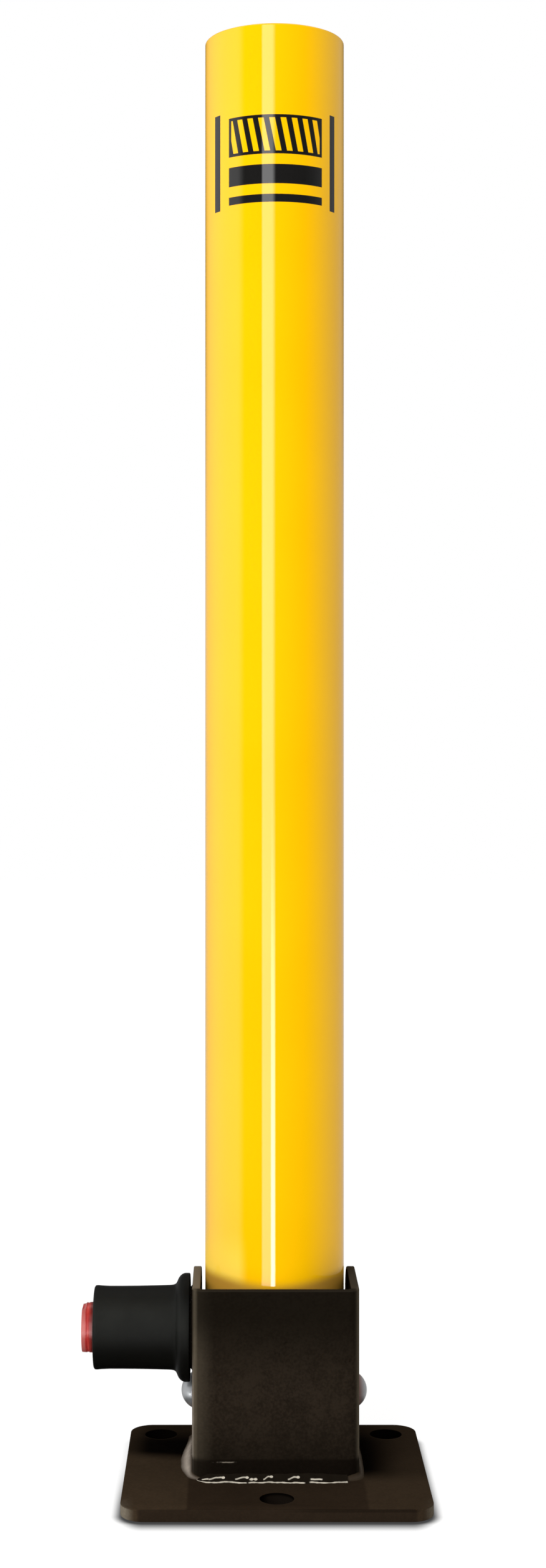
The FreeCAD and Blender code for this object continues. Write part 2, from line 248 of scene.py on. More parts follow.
def wallTone(x, y, z, patchy, mottle, grain):
    zones, tones = wallZones, wallTones
    # painted shade: the wall darker towards its top and towards its foot; the strip at its foot darker
    # still, partly painted shade by the plate and partly the paint's own tone
    lift = z.below(*zones["fade"]) * z.above(*zones["foot"]).between(0.45, 1.0)
    tone = lift.colours(tones["high"], tones["low"])
    tone = (patchy * 0.52).colours(tone, tones["patch"])
    tone = (z.below(*zones["strip"]) * 0.7).colours(tone, tones["strip"])
    # painted highlights on the left and right bends, stronger lower down, with a random mottle, and kept
    # weak along the outermost left line
    onWall = z.above(*zones["aboveStrip"]).between(0.15, 1.0) * y.below(*zones["ahead"])
    leftBend = x.below(*zones["leftBend"]) * 0.5
    leftBend = leftBend + x.below(*zones["leftGlow"]) * z.above(*zones["glowFade"]).between(0.30, 0.06)
    leftBend = leftBend * (x.above(*zones["leftSide"]) * 0.8 + 0.2)
    rightBend = x.above(*zones["rightBend"])
    rightBend = rightBend * rightBend * z.above(*zones["rightFade"]).between(1.5, 1.0)
    bendHighlight = (leftBend + rightBend) * onWall * (0.5 + mottle * 0.75)
    tone = bendHighlight.colours(tone, tones["bendHighlight"])
    # painted highlight along the left wall's outer edge below the boot, fading out higher up where the boot
    # shades it
    leftEdge = x.below(*zones["leftEdge"]) * z.below(*zones["edgeFade"]) * onWall
    tone = (leftEdge * (0.4 + mottle * 0.8)).colours(tone, tones["edge"])
    specks = mottle.above(0.6, 0.72) * grain.above(0.45, 0.6) * z.above(*zones["specks"])
    tone = (specks * 0.6).colours(tone, tones["speck"])
    # painted highlight along the wall's top edge: strong on the left side wall, weaker on the right, faint
    # at the front
    rimSides = y.above(*zones["rimSides"]) * x.above(*zones["rimLeft"]).between(0.92, 0.2)
    return (z.above(*zones["rim"]) * (rimSides + 0.08)).colours(tone, tones["rim"])


plateTones = {"middle": (0.0250, 0.0162, 0.0098, 1), "sides": (0.0405, 0.0270, 0.0160, 1),
              "face": (0.0215, 0.0142, 0.0090, 1), "paintedShadow": (0.0018, 0.0013, 0.0010, 1),
              "corner": (0.20, 0.172, 0.130, 1), "patch": (0.006, 0.0042, 0.0028, 1),
              "edgeLine": (0.0060, 0.0042, 0.0028, 1), "holeRim": (0.045, 0.033, 0.022, 1),
              "hole": (0.0016, 0.0011, 0.0008, 1), "holeLit": (0.0078, 0.0056, 0.0041, 1)}
plateZones = {"left": (-37.5, -36), "right": (36.2, 38), "face": (-70.7, -70.2), "shadowWander": 9,
              "leftShadow": (-10, 4), "leftSkew": 0.2, "leftFrom": 52, "leftThin": (-65, -54),
              "rightShadow": (-39, -20), "rightThin": (38, 57), "backLight": (14, 40),
              "leftCorner": (-63.6, -57.5), "rightCorner": (59, 64.2), "nearCorner": (-65, -53),
              "cornerTop": (4.3, 4.8),
              "lineFront": (-70.2, -69.6), "lineRise": (3.6, 4.3), "lineFrom": (-5, 20), "lineTo": (55, 60),
              "holeRim": (7.2, 7.8, 0.3), "holeNear": (1, 6), "holeEdge": (7.02, 7.16),
              "litDepth": (3.2, 4.6), "litFrom": (-6.5, -3), "litFront": (-40, -30)}


def plateTone(x, y, z, patchy, cloud):
    zones, tones = plateZones, plateTones
    left, right = x.below(*zones["left"]), x.above(*zones["right"])
    tone = (left + right * 0.7).colours(tones["middle"], tones["sides"])
    # painted shade: the plate's front face is given a darker tone than its top
    tone = y.below(*zones["face"]).colours(tone, tones["face"])
    # painted shadow: the plate's rear near black on both sides of the bracket, with a wandering edge,
    # thinning towards the outer edges and a little lighter at the very back
    wander = (cloud - 0.5) * zones["shadowWander"]
    leftShadow = (y + (x + zones["leftFrom"]) * zones["leftSkew"] + wander).above(*zones["leftShadow"])
    leftShadow = leftShadow * left * (1.0 - x.below(*zones["leftThin"]) * 0.4)
    rightShadow = (y + wander).above(*zones["rightShadow"])
    rightShadow = rightShadow * right * (1.0 - x.above(*zones["rightThin"]) * 0.64)
    paintedShadow = (leftShadow + rightShadow) * (1.0 - y.above(*zones["backLight"]) * 0.3)
    tone = paintedShadow.colours(tone, tones["paintedShadow"])
    # painted highlights on the rounded front corners, stronger at the left, on the edges and front face
    # more than on the top
    corners = x.below(*zones["leftCorner"]) + x.above(*zones["rightCorner"]) * 0.5
    corners = corners * y.below(*zones["nearCorner"]) * (1.0 - z.above(*zones["cornerTop"]) * 0.85)
    tone = corners.colours(tone, tones["corner"])
    tone = ((1.0 - patchy) * 0.2).colours(tone, tones["patch"])
    # painted shade along the plate's front top edge, from the middle to the right
    edgeLine = y.below(*zones["lineFront"]) * z.above(*zones["lineRise"])
    edgeLine = edgeLine * x.above(*zones["lineFrom"]) * x.below(*zones["lineTo"])
    tone = (edgeLine * 0.45).colours(tone, tones["edgeLine"])
    # painted shade inside the holes: their walls near black, the lower part of the front hole's far wall a
    # little lighter
    lit = z.below(*zones["litDepth"]) * x.above(*zones["litFrom"]) * y.below(*zones["litFront"])
    inside = lit.colours(tones["hole"], tones["holeLit"])     # the front hole's far wall catches light
    for holeX, holeY in plate["holes"]:
        offX, offY = x - holeX / mm, y - holeY / mm
        fromHole = x.op("SQRT", offX * offX + offY * offY)
        rim = fromHole.band(*zones["holeRim"]) * (-offY).above(*zones["holeNear"])
        tone = (rim * 0.16).colours(tone, tones["holeRim"])
        tone = fromHole.below(*zones["holeEdge"]).colours(tone, inside)
    return tone


scratch = {"z": 12.3, "half": 0.22, "soft": 0.12, "wander": 0.9, "from": -26.5, "to": -17.2, "ends": 1.5,
           "fade": (-28, -21), "ahead": (-34, -33.6)}


def darkPaint():
    made, shader, place = newMaterial("darkPaint", darkLook)
    x, y, z = inMillimetres(place)
    cloud = noise(place, 24.0, 6.0, 0.7)
    mottle = noise(place, 150.0, 5.0, 0.75)
    grain = noise(place, 900.0, 2.0)
    patchy = (cloud * 0.34 + mottle * 0.32 + grain * 0.34).above(0.40, 0.60)
    wall = wallTone(x, y, z, patchy, mottle, grain)
    tone = z.below(5.2, 5.8).colours(wall, plateTone(x, y, z, patchy, cloud))
    low, high = scratch["z"] - scratch["half"], scratch["z"] + scratch["half"]
    mark = (z + (noise(place, 190.0, 3.0) - 0.5) * scratch["wander"]).band(low, high, scratch["soft"])
    mark = mark * x.band(scratch["from"], scratch["to"], scratch["ends"]) * x.above(*scratch["fade"])
    mark = mark * y.below(*scratch["ahead"]) * noise(place, 420.0, 2.0).above(0.35, 0.6)
    tone = mark.colours(tone, wallTones["scratch"])
    feed(shader, Base_Color=tone, Roughness=cloud * 0.2 + 0.42, Normal=bump(place, grain, 0.16, 0.12 * mm))
    return made


weldLook = {"Base Color": (0.04, 0.034, 0.027, 1), "Roughness": 0.4, "Specular IOR Level": 0.0}
weldTones = {"side": (0.031, 0.0215, 0.0135, 1), "front": (0.0105, 0.0078, 0.0053, 1),
             "face": (0.43, 0.37, 0.31, 1), "bright": (0.60, 0.545, 0.45, 1),
             "speck": (0.50, 0.45, 0.39, 1)}
# painted highlights on the front bead, as strokes: start and end along the bead, rise across it, and
# whether it ends in a bright drop
weldMarks = {"strokes": ((3.4, 5.9, 0.05, False), (6.0, 12.4, 0.36, True), (17.2, 22.4, 0.38, True),
                         (23.1, 24.3, 0.0, True), (24.6, 26.0, 0.0, True), (29.0, 32.6, 0.55, True),
                         (39.3, 43.8, 0.40, True), (48.8, 53.6, 0.0, False)),
             "strokeAt": 0.12, "strokeEnds": 0.35, "strokeWidth": (0.09, 0.18), "dropBack": 0.3,
             "dropLong": 0.75, "dropWide": 0.24, "dropEdge": (0.7, 1.1),
             "lines": ((-1, 21.8), (22.8, 46.2), (48.4, 65.0)), "lineAt": 0.74, "lineEnds": 0.5}
weldZones = {"faceAcross": (-0.35, 0.6, 0.55), "faceStart": (-4, 26), "faceFront": (-37, -22),
             "faceRight": (-10, 10), "specksAcross": (-0.2, 0.4), "specksRear": (-22, -8)}


# painted highlights on the front bead: bright strokes, drops and a wavy line near its toe
def brightMarks(across, along, run):
    press = noise(run.vector("ADD", run, (0.83, 0, 0)), 420.0, 1.0)
    drift = (noise(run, 330.0, 1.0) - 0.5) * 0.25
    level = across - weldMarks["strokeAt"]
    bright = along * 0.0
    for start, end, rise, drop in weldMarks["strokes"]:
        climb = ((along - start) / (end - start)).above(0.0, 0.6)
        offLine = abs(level + climb * rise + drift)
        stroke = along.band(start, end, weldMarks["strokeEnds"]) * offLine.below(*weldMarks["strokeWidth"])
        if drop:
            reach = (along - end + weldMarks["dropBack"]) / weldMarks["dropLong"]
            rim = (level + rise * 0.9) / weldMarks["dropWide"]
            spot = reach.op("SQRT", reach * reach + rim * rim).below(*weldMarks["dropEdge"])
            stroke = stroke.op("MAXIMUM", stroke * (0.5 + press * 0.6), spot * 1.5)
        bright = bright.op("MAXIMUM", bright, stroke)
    lines = along * 0.0
    for start, end in weldMarks["lines"]:
        lines = lines + along.band(start, end, weldMarks["lineEnds"])
    wave = (noise(run, 115.0, 1.0) - 0.5) * 0.75
    fromLine = abs(across + wave - weldMarks["lineAt"]) / (0.06 + press * 0.22)
    return bright.op("MAXIMUM", bright, lines * fromLine.below(0.6, 1.0) * (0.45 + press * 0.8))


def weldPaint():
    made, shader, place = newMaterial("weldPaint", weldLook)
    across, along, glints = (place.node("ShaderNodeAttribute", {"attribute_name": name}).out("Fac")
                           for name in ("across", "along", "glints"))
    run = place.node("ShaderNodeCombineXYZ", {}, X=along)
    along = along * (1 / mm)
    x, y, z = inMillimetres(place)
    zones, tones = weldZones, weldTones
    # painted highlights: only the front bead carries the bright marks
    bright = glints.op("MINIMUM", brightMarks(across, along, run) * glints, 1.0)
    cloud = noise(place, 260.0, 4.0, 0.6)
    # painted highlight on the side beads' faces, fading at both ends and much weaker on the right bead; the
    # small bright specks near the wall are painted highlights too
    face = across.band(*zones["faceAcross"]) * along.above(*zones["faceStart"]) * (1.0 - glints)
    face = face * y.above(*zones["faceFront"]).between(0.12, 1.0)
    face = face * x.above(*zones["faceRight"]).between(1.0, 0.16) * (0.55 + cloud * 0.6)
    tone = face.colours(glints.colours(tones["side"], tones["front"]), tones["face"])
    tone = bright.colours(tone, tones["bright"])
    specks = noise(place, 800.0, 1.0).above(0.60, 0.68) * (1.0 - glints)
    specks = specks * (-across).above(*zones["specksAcross"]) * y.above(*zones["specksRear"])
    tone = (specks * 0.7).colours(tone, tones["speck"])
    feed(shader, Base_Color=tone, Roughness=cloud * 0.25 + 0.3)
    return made


zincLook = {"Base Color": (0.30, 0.31, 0.31, 1), "Roughness": 0.36, "Metallic": 0.7,
            "Specular IOR Level": 0.4, "Coat Weight": 0.7, "Coat Roughness": 0.06}
zincTones = {"dark": (0.29, 0.30, 0.31, 1), "light": (0.46, 0.47, 0.48, 1),
             "leftRust": (0.30, 0.205, 0.15, 1), "rightRust": (0.19, 0.075, 0.050, 1)}
rustZones = {"low": (22.5, 29), "rightHead": (0, 1), "root": (36.8, 40.2), "sides": (-1, 1)}


def zincSteel():
    made, shader, place = newMaterial("zincSteel", zincLook)
    x, y, z = inMillimetres(place)
    patch = noise(place, 230.0, 3.0)
    low = z.below(*rustZones["low"]) * patch.above(0.38, 0.62)
    root = x.above(*rustZones["rightHead"]) * x.below(*rustZones["root"])
    rust = x.op("MAXIMUM", low * 0.75, root * 0.85)
    rusty = x.above(*rustZones["sides"]).colours(zincTones["leftRust"], zincTones["rightRust"])
    tone = rust.colours(patch.colours(zincTones["dark"], zincTones["light"]), rusty)
    clean = 0.7 - rust * 0.7
    feed(shader, Base_Color=tone, Metallic=clean, Roughness=patch * 0.2 + 0.28, Coat_Weight=clean)
    return made


steelLook = {"Base Color": (0.52, 0.52, 0.51, 1), "Roughness": 0.3, "Metallic": 1.0}


def bareSteel():
    made, shader, place = newMaterial("bareSteel", steelLook)
    feed(shader, Roughness=noise(place, 340.0, 2.0) * 0.2 + 0.22)
    return made


rubberLook = {"Base Color": (0.006, 0.0065, 0.0055, 1), "Roughness": 0.48, "Specular IOR Level": 0.075}
rubberTones = {"under": (0.0034, 0.0034, 0.0028, 1), "dark": (0.0175, 0.0182, 0.0165, 1),
               "litBand": (0.0245, 0.0255, 0.0230, 1)}
litBandZones = {"from": (52, 70), "to": (70, 80)}


def blackRubber():
    made, shader, place = newMaterial("blackRubber", rubberLook)
    x, y, z = inMillimetres(place)
    bloom = noise(place, 60.0, 3.0)
    tone = bloom.above(0.3, 0.75).colours(rubberTones["dark"], rubberTones["litBand"])
    # painted light: the boot lighter in a band on its upper half and painted darker elsewhere, as shade
    litBand = z.above(*litBandZones["from"]) * (1.0 - z.above(*litBandZones["to"]) * 0.9) * 0.62
    tone = litBand.colours(rubberTones["under"], tone)
    skin = bump(place, noise(place, 1400.0, 1.0), 0.08, 0.05 * mm)
    feed(shader, Base_Color=tone, Roughness=bloom * 0.15 + 0.47, Normal=skin)
    return made


brassLook = {"Base Color": (0.72, 0.50, 0.18, 1), "Roughness": 0.28, "Metallic": 1.0}


def lockBrass():
    made, shader, place = newMaterial("lockBrass", brassLook)
    feed(shader, Roughness=noise(place, 420.0, 2.0) * 0.2 + 0.2)
    return made


redLook = {"Base Color": (0.52, 0.03, 0.025, 1), "Roughness": 0.3, "Specular IOR Level": 0.5}
redTones = {"deep": (0.42, 0.012, 0.010, 1), "light": (0.62, 0.060, 0.045, 1),
            "pale": (0.47, 0.115, 0.100, 1), "line": (0.26, 0.02, 0.016, 1),
            "shade": (0.07, 0.008, 0.006, 1)}
capRings = {"pale": (-82.05, -81.8), "paleReach": (9.4, 9.9), "line": (-81.9, -81.55, 0.08),
            "shade": (-81.1, -78.9)}


def redPlastic():
    made, shader, place = newMaterial("redPlastic", redLook)
    x, y, z = inMillimetres(place)
    stretched = place.node("ShaderNodeMapping", {"vector_type": "POINT"},
                           Vector=place, Scale=(1.0, 0.25, 0.25))
    flow = noise(stretched, 520.0, 3.0)
    tone = flow.above(0.3, 0.7).colours(redTones["deep"], redTones["light"])
    # painted reflection as a pale rim on the cap's end, a darker ring line, and painted shade towards the
    # boot
    rise = z - lockZ / mm
    reach = x.op("SQRT", y * y + rise * rise)
    pale = x.below(*capRings["pale"]) * reach.above(*capRings["paleReach"])
    tone = (pale * (0.75 + flow * 0.25)).colours(tone, redTones["pale"])
    tone = (x.band(*capRings["line"]) * 0.5).colours(tone, redTones["line"])
    tone = (x.above(*capRings["shade"]) * 0.85).colours(tone, redTones["shade"])
    feed(shader, Base_Color=tone, Roughness=flow * 0.15 + 0.24)
    return made


finishes = {"yellow_paint": yellowPaint(), "dark_paint": darkPaint(), "painted_weld": weldPaint(),
            "zinc_steel": zincSteel(), "bare_steel": bareSteel(), "black_rubber": blackRubber(),
            "lock_brass": lockBrass(), "red_plastic": redPlastic()}
print("finishes made:", len(finishes))


# meshes

def meshObject(name, points, faces, sharpAngle=30):
    mesh = bpy.data.meshes.new(name)
    mesh.from_pydata([tuple(p) for p in points], [], faces)
    made = bpy.data.objects.new(name, mesh)
    scene.collection.objects.link(made)
    tidy(made, sharpAngle)
    return made


def tidy(piece, sharpAngle):
    work = bmesh.new()
    work.from_mesh(piece.data)
    bmesh.ops.remove_doubles(work, verts=work.verts, dist=1e-6)
    bmesh.ops.delete(work, geom=[e for e in work.edges if not e.link_faces], context="EDGES")
    bmesh.ops.recalc_face_normals(work, faces=work.faces)
    work.to_mesh(piece.data)
    work.free()
    piece.data.polygons.foreach_set("use_smooth", [True] * len(piece.data.polygons))
    piece.data.set_sharp_from_angle(angle=math.radians(sharpAngle))


def turned(name, outline, place, segments, sharpAngle=30):
    points, faces, count = [], [], len(outline)
    for step in range(segments):
        angle = 2 * math.pi * step / segments
        points += [place(along, radius, angle) for along, radius in outline]
    for step in range(segments):
        here, there = step * count, (step + 1) % segments * count
        for i in range(count):
            j = (i + 1) % count
            faces.append((here + i, here + j, there + j, there + i))
    return meshObject(name, points, faces, sharpAngle)


def upright(along, radius, angle):
    return Vector((radius * math.sin(angle), -radius * math.cos(angle), along))


def prism(name, outline, low, high, place):
    count = len(outline)
    points = [place(a, b, low) for a, b in outline] + [place(a, b, high) for a, b in outline]
    faces = [tuple(range(count)), tuple(range(count, 2 * count))]
    faces += [(i, (i + 1) % count, count + (i + 1) % count, count + i) for i in range(count)]
    return meshObject(name, points, faces)


def flat(a, b, level):
    return Vector((a, b, level))


def sideways(a, b, level):
    return Vector((level, a, b))


def rounding(centreA, centreB, radius, start, end, steps):
    angles = [math.radians(start + (end - start) * i / steps) for i in range(steps + 1)]
    return [(centreA + radius * math.cos(t), centreB + radius * math.sin(t)) for t in angles]


def evaluatedMesh(piece):
    return bpy.data.meshes.new_from_object(piece.evaluated_get(bpy.context.evaluated_depsgraph_get()))


def applied(piece, sharpAngle):
    mesh = evaluatedMesh(piece)
    piece.modifiers.clear()
    old = piece.data
    piece.data = mesh
    bpy.data.meshes.remove(old)
    tidy(piece, sharpAngle)


def carve(piece, cutter):
    change = piece.modifiers.new("carve", "BOOLEAN")
    change.operation = "DIFFERENCE"
    change.solver = "EXACT"
    change.object = cutter
    applied(piece, sharpAngle=30)
    bpy.data.objects.remove(cutter)


def soften(piece, width):
    change = piece.modifiers.new("soften", "BEVEL")
    change.width = width
    change.segments = 3
    change.limit_method = "ANGLE"
    change.angle_limit = math.radians(50)
    change.use_clamp_overlap = True
    applied(piece, sharpAngle=50)


def rod(name, radius, start, end):
    axis = (end - start).normalized()
    side = axis.orthogonal().normalized()
    other = axis.cross(side)

    def place(along, r, angle):
        return start + axis * along + (side * math.cos(angle) + other * math.sin(angle)) * r

    length = (end - start).length
    return turned(name, [(0, 0), (0, radius), (length, radius), (length, 0)], place, 96)


def dress(piece, node, slotName, body):
    piece.data.materials.clear()
    piece.data.materials.append(finishes[slotName])
    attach(piece, body)
    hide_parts(node)


through = Vector((50 * mm, 0, 0))       # half a cut that passes right through
pivot = Vector((0, pivotY, pivotZ))
lockAxis = Vector((0, 0, lockZ))


# post

disc = {"low": 614.9 * mm, "radius": 28.1 * mm,
        "edge": ((617.6 * mm, 28.1 * mm), (617.9 * mm, 27.8 * mm), (618 * mm, 27.4 * mm))}
footCut = {"reach": 60 * mm, "spare": 1 * mm}


def tubeOutline():
    outer, inner, top, rim = post["radius"], post["radius"] - post["wall"], post["top"], post["rim"]
    bevel, shoulder = post["chamfer"], top - rim
    outline = [(post["foot"], inner), (post["foot"], outer)] + [(z, outer) for z in post["rings"]]
    outline += [(shoulder - down, outer) for down in post["rimRings"]]
    outline += rounding(shoulder, outer - rim, rim, 90, 0, 6)
    return outline + [(top, inner + bevel), (top - bevel, inner), (top - post["innerRing"], inner),
                      (post["rings"][1], inner)]


def makePost():
    tube = turned("postTube", tubeOutline(), upright, 256)
    low, reach = post["foot"] - footCut["spare"], footCut["reach"]
    arc = [p for p in rounding(pivotY, pivotZ, post["swing"], 180, 240, 24) if p[1] > low]
    corner = [(-reach, pivotZ)] + arc + [(arc[-1][0], low), (-reach, low)]      # the foot swings clear
    carve(tube, prism("footCut", corner, -reach, reach, sideways))
    carve(tube, rod("bushCut", post["bushHole"], pivot - through, pivot + through))
    carve(tube, rod("lockCut", post["lockHole"], lockAxis - through, lockAxis))
    dress(tube, "post_tube", "yellow_paint", "post")
    top = disc["edge"][-1][0]
    outline = [(disc["low"], 0), (disc["low"], disc["radius"]), *disc["edge"], (top, 0)]
    dress(turned("topDisc", outline, upright, 192), "top_disc", "yellow_paint", "post")


makePost()
print("post made")


# base plate and bracket

spare = {"short": 10 * mm, "long": 20 * mm, "across": 50 * mm}      # how far the cutters stand out


def makePlate():
    corner = plate["corner"]
    left, right = plate["left"] + corner, plate["right"] - corner
    front, back = plate["front"] + corner, plate["back"] - corner
    outline = rounding(right, back, corner, 0, 90, 20) + rounding(left, back, corner, 90, 180, 20)
    outline += rounding(left, front, corner, 180, 270, 20) + rounding(right, front, corner, 270, 360, 20)
    sheet = prism("basePlate", outline, 0, plate["thick"], flat)
    for x, y in plate["holes"]:
        under, over = Vector((x, y, -spare["short"])), Vector((x, y, spare["long"]))
        carve(sheet, rod("anchorCut", plate["hole"], under, over))
    soften(sheet, plate["edge"])
    dress(sheet, "base_plate", "dark_paint", "base")


bracket = {"outer": 35.35 * mm, "inner": 31.85 * mm, "front": -34.15 * mm, "innerFront": -30.65 * mm,
           "bend": 5.3 * mm, "innerBend": 1.8 * mm, "rear": 24.2 * mm, "low": 5 * mm, "top": 84.4 * mm,
           "round": 16 * mm, "edge": 0.55 * mm, "rivetHole": 5.05 * mm, "boltHole": 5.1 * mm}


def makeBracket():
    outer, inner, rear = bracket["outer"], bracket["inner"], bracket["rear"]
    bend, innerBend = bracket["bend"], bracket["innerBend"]
    front, innerFront = bracket["front"] + bend, bracket["innerFront"] + innerBend
    outline = [(-outer, rear)] + rounding(-outer + bend, front, bend, 180, 270, 14)
    outline += rounding(outer - bend, front, bend, 270, 360, 14) + [(outer, rear), (inner, rear)]
    outline += rounding(inner - innerBend, innerFront, innerBend, 360, 270, 8)
    outline += rounding(-inner + innerBend, innerFront, innerBend, 270, 180, 8) + [(-inner, rear)]
    sheet = prism("pivotBracket", outline, bracket["low"], bracket["top"], flat)
    top, turn = bracket["top"], bracket["round"]
    up, back, across = top + spare["short"], rear + spare["long"], spare["across"]
    cut = [(rear - turn, up)] + rounding(rear - turn, top - turn, turn, 90, 0, 40)
    cut += [(back, top - turn), (back, up)]
    carve(sheet, prism("cornerCut", cut, -across, across, sideways))
    soften(sheet, bracket["edge"])
    carve(sheet, rod("rivetCut", bracket["rivetHole"], pivot - through, pivot + through))
    carve(sheet, rod("boltCut", bracket["boltHole"], lockAxis - through, lockAxis))
    dress(sheet, "pivot_bracket", "dark_paint", "base")


makePlate()
makeBracket()
print("plate and bracket made")


# grown pieces: a node tree on a holder, turned into a plain mesh

def openTree(name, numbers, hasPath):
    tree = bpy.data.node_groups.new(name, "GeometryNodeTree")
    if hasPath:
        tree.interface.new_socket(name="Path", in_out="INPUT", socket_type="NodeSocketGeometry")
    for number in numbers:
        tree.interface.new_socket(name=number, in_out="INPUT", socket_type="NodeSocketFloat")
    tree.interface.new_socket(name="Paint", in_out="INPUT", socket_type="NodeSocketMaterial")
    tree.interface.new_socket(name="Piece", in_out="OUTPUT", socket_type="NodeSocketGeometry")
    wire = Wire(tree)
    return tree, wire, wire.node("NodeGroupInput")


def closeTree(shape, given):
    shape = shape.node("GeometryNodeRealizeInstances", {}, Geometry=shape)
    shape = shape.node("GeometryNodeSetMaterial", {}, Geometry=shape, Material=given.out("Paint"))
    shape.node("NodeGroupOutput", {}, Piece=shape)


def grown(name, holderData, tree, values):
    holder = bpy.data.objects.new(name + "Holder", holderData)
    scene.collection.objects.link(holder)
    change = holder.modifiers.new("grow", "NODES")
    change.node_group = tree
    for item in tree.interface.items_tree:
        if item.in_out == "INPUT" and item.name in values:
            change[item.identifier] = values[item.name]
    mesh = evaluatedMesh(holder)
    bpy.data.objects.remove(holder)
    piece = bpy.data.objects.new(name, mesh)
    scene.collection.objects.link(piece)
    tidy(piece, sharpAngle=60)
    return piece


def captured(geometry, value, kind):
    settings = {"domain": "POINT", "capture_items": kind}
    made = geometry.node("GeometryNodeCaptureAttribute", settings, i0=geometry, i1=value)
    return made, made.out(1)


# weld beads: one tree, a path for each bead

beadNumbers = ("Leg", "Length", "Side", "Pitch", "Ripple", "Lump", "Front Swell", "Start Size", "Start Run",
               "End Size", "Spread", "Hollow", "Glints", "Seed")
beadLengths = ("Leg", "Pitch", "Start Run")      # given in millimetres
beads = {"front": {"Leg": 2.8, "Pitch": 6.0, "Ripple": 0.03, "Lump": 0.3, "Front Swell": 0.0,
                   "Start Size": 0.12, "Start Run": 7.0, "End Size": 0.9,
                   "Spread": 1.8, "Hollow": 1.15, "Glints": 1.0, "Seed": 0.31, "Side": 1.0},
         "left": {"Leg": 5.6, "Pitch": 3.1, "Ripple": 0.0, "Lump": 0.22, "Front Swell": 0.0,
                  "Start Size": 0.45, "Start Run": 34.0, "End Size": 0.15,
                  "Spread": 1.0, "Hollow": 1.3, "Glints": 0.0, "Seed": 0.74, "Side": 1.0},
         "right": {"Leg": 2.6, "Pitch": 2.7, "Ripple": 0.01, "Lump": 0.3, "Front Swell": 0.35,
                   "Start Size": 0.5, "Start Run": 34.0, "End Size": 0.6,
                   "Spread": 1.0, "Hollow": 1.2, "Glints": 0.0, "Seed": 0.12, "Side": -1.0}}
beadRuns = {"step": 0.35 * mm, "start": -0.5 * mm, "finish": (-2 * mm, 22 * mm),
            "swellFrom": (9 * mm, 4 * mm), "swellTo": (-1 * mm, 3 * mm)}


def beadTree():
    tree, wire, given = openTree("weldBead", beadNumbers, True)
    leg, length, side, pitch = (given.out(n) for n in ("Leg", "Length", "Side", "Pitch"))
    ripple, lump, swell, seed = (given.out(n) for n in ("Ripple", "Lump", "Front Swell", "Seed"))
    startSize, startRun, endSize = (given.out(n) for n in ("Start Size", "Start Run", "End Size"))
    spread, hollow = given.out("Spread"), given.out("Hollow")

    path = wire.node("GeometryNodeResampleCurve", {"mode": "LENGTH"},
                     Curve=given.out("Path"), Length=beadRuns["step"])
    spline = wire.node("GeometryNodeSplineParameter")
    marked, along = captured(path, spline.out("Length"), "FLOAT")
    marked, root = captured(marked, wire.node("GeometryNodeInputPosition"), "VECTOR")
    marked, heading = captured(marked, wire.node("GeometryNodeInputTangent"), "VECTOR")
    ring = wire.node("GeometryNodeCurvePrimitiveCircle", {"mode": "RADIUS"}, Resolution=28, Radius=1 * mm)
    ring, factor = captured(ring, spline.out("Factor"), "FLOAT")
    skin = wire.node("GeometryNodeCurveToMesh", {}, Curve=marked, Profile_Curve=ring, Fill_Caps=True)

    turn = factor * (2 * math.pi)
    across, proud = wire.op("COSINE", turn), wire.op("SINE", turn)
    outward = wire.vector("CROSS_PRODUCT", heading, (0, 0, 1))
    outward = wire.node("ShaderNodeVectorMath", {"operation": "SCALE"}, i0=outward, Scale=side)
    shift = wire.node("ShaderNodeCombineXYZ", {}, Z=seed)
    wander = noise(wire.vector("ADD", root, shift), 70.0, 0.0) - 0.5
    scallop = wire.op("SINE", (along / pitch + across * across * 0.35) * (2 * math.pi))
    rest = length - along
    start = along.above(beadRuns["start"], startRun).between(startSize, 1.0)
    finish = rest.above(*beadRuns["finish"]).between(endSize, 1.0)
    front = rest.above(*beadRuns["swellFrom"]) * rest.above(*beadRuns["swellTo"])
    size = leg * start * finish * (1.0 + wander * lump + front * swell)
    toe = wire.op("POWER", across * 0.5 + 0.5, hollow)
    top = wire.op("POWER", 0.5 - across * 0.5, hollow)
    behind = wire.op("MAXIMUM", -proud, 0.0) * 0.35 + 0.02

    def placed(extra):
        reach = size * (toe + extra) * spread
        moved = wire.node("ShaderNodeVectorMath", {"operation": "SCALE"}, i0=outward, Scale=reach)
        lifted = wire.node("ShaderNodeCombineXYZ", {}, Z=size * (top + extra))
        return wire.vector("ADD", root, wire.vector("ADD", moved, lifted))

    fine = noise(wire.vector("ADD", placed(0.0), shift), 170.0, 1.0) - 0.5
    crest = (scallop * ripple + fine * lump * 0.3) * wire.op("MAXIMUM", proud, 0.0)
    bead = wire.node("GeometryNodeSetPosition", {}, Geometry=skin, Position=placed(crest - behind))
    for name, value in (("along", along), ("across", across), ("glints", given.out("Glints"))):
        bead = wire.node("GeometryNodeStoreNamedAttribute", {"data_type": "FLOAT", "domain": "POINT"},
                         Geometry=bead, Name=name, Value=value)
    closeTree(bead, given)
    return tree


def beadPath(name):
    outer, front, bend = bracket["outer"], bracket["front"], bracket["bend"]
    if name == "front":
        return rounding(-outer + bend, front + bend, bend, 225, 270, 10) + [(outer - bend, front)]
    line = [(outer, bracket["rear"]), (outer, front + bend)]
    line += rounding(outer - bend, front + bend, bend, 0, -90, 14)[1:]
    return line if name == "right" else [(-x, y) for x, y in line]


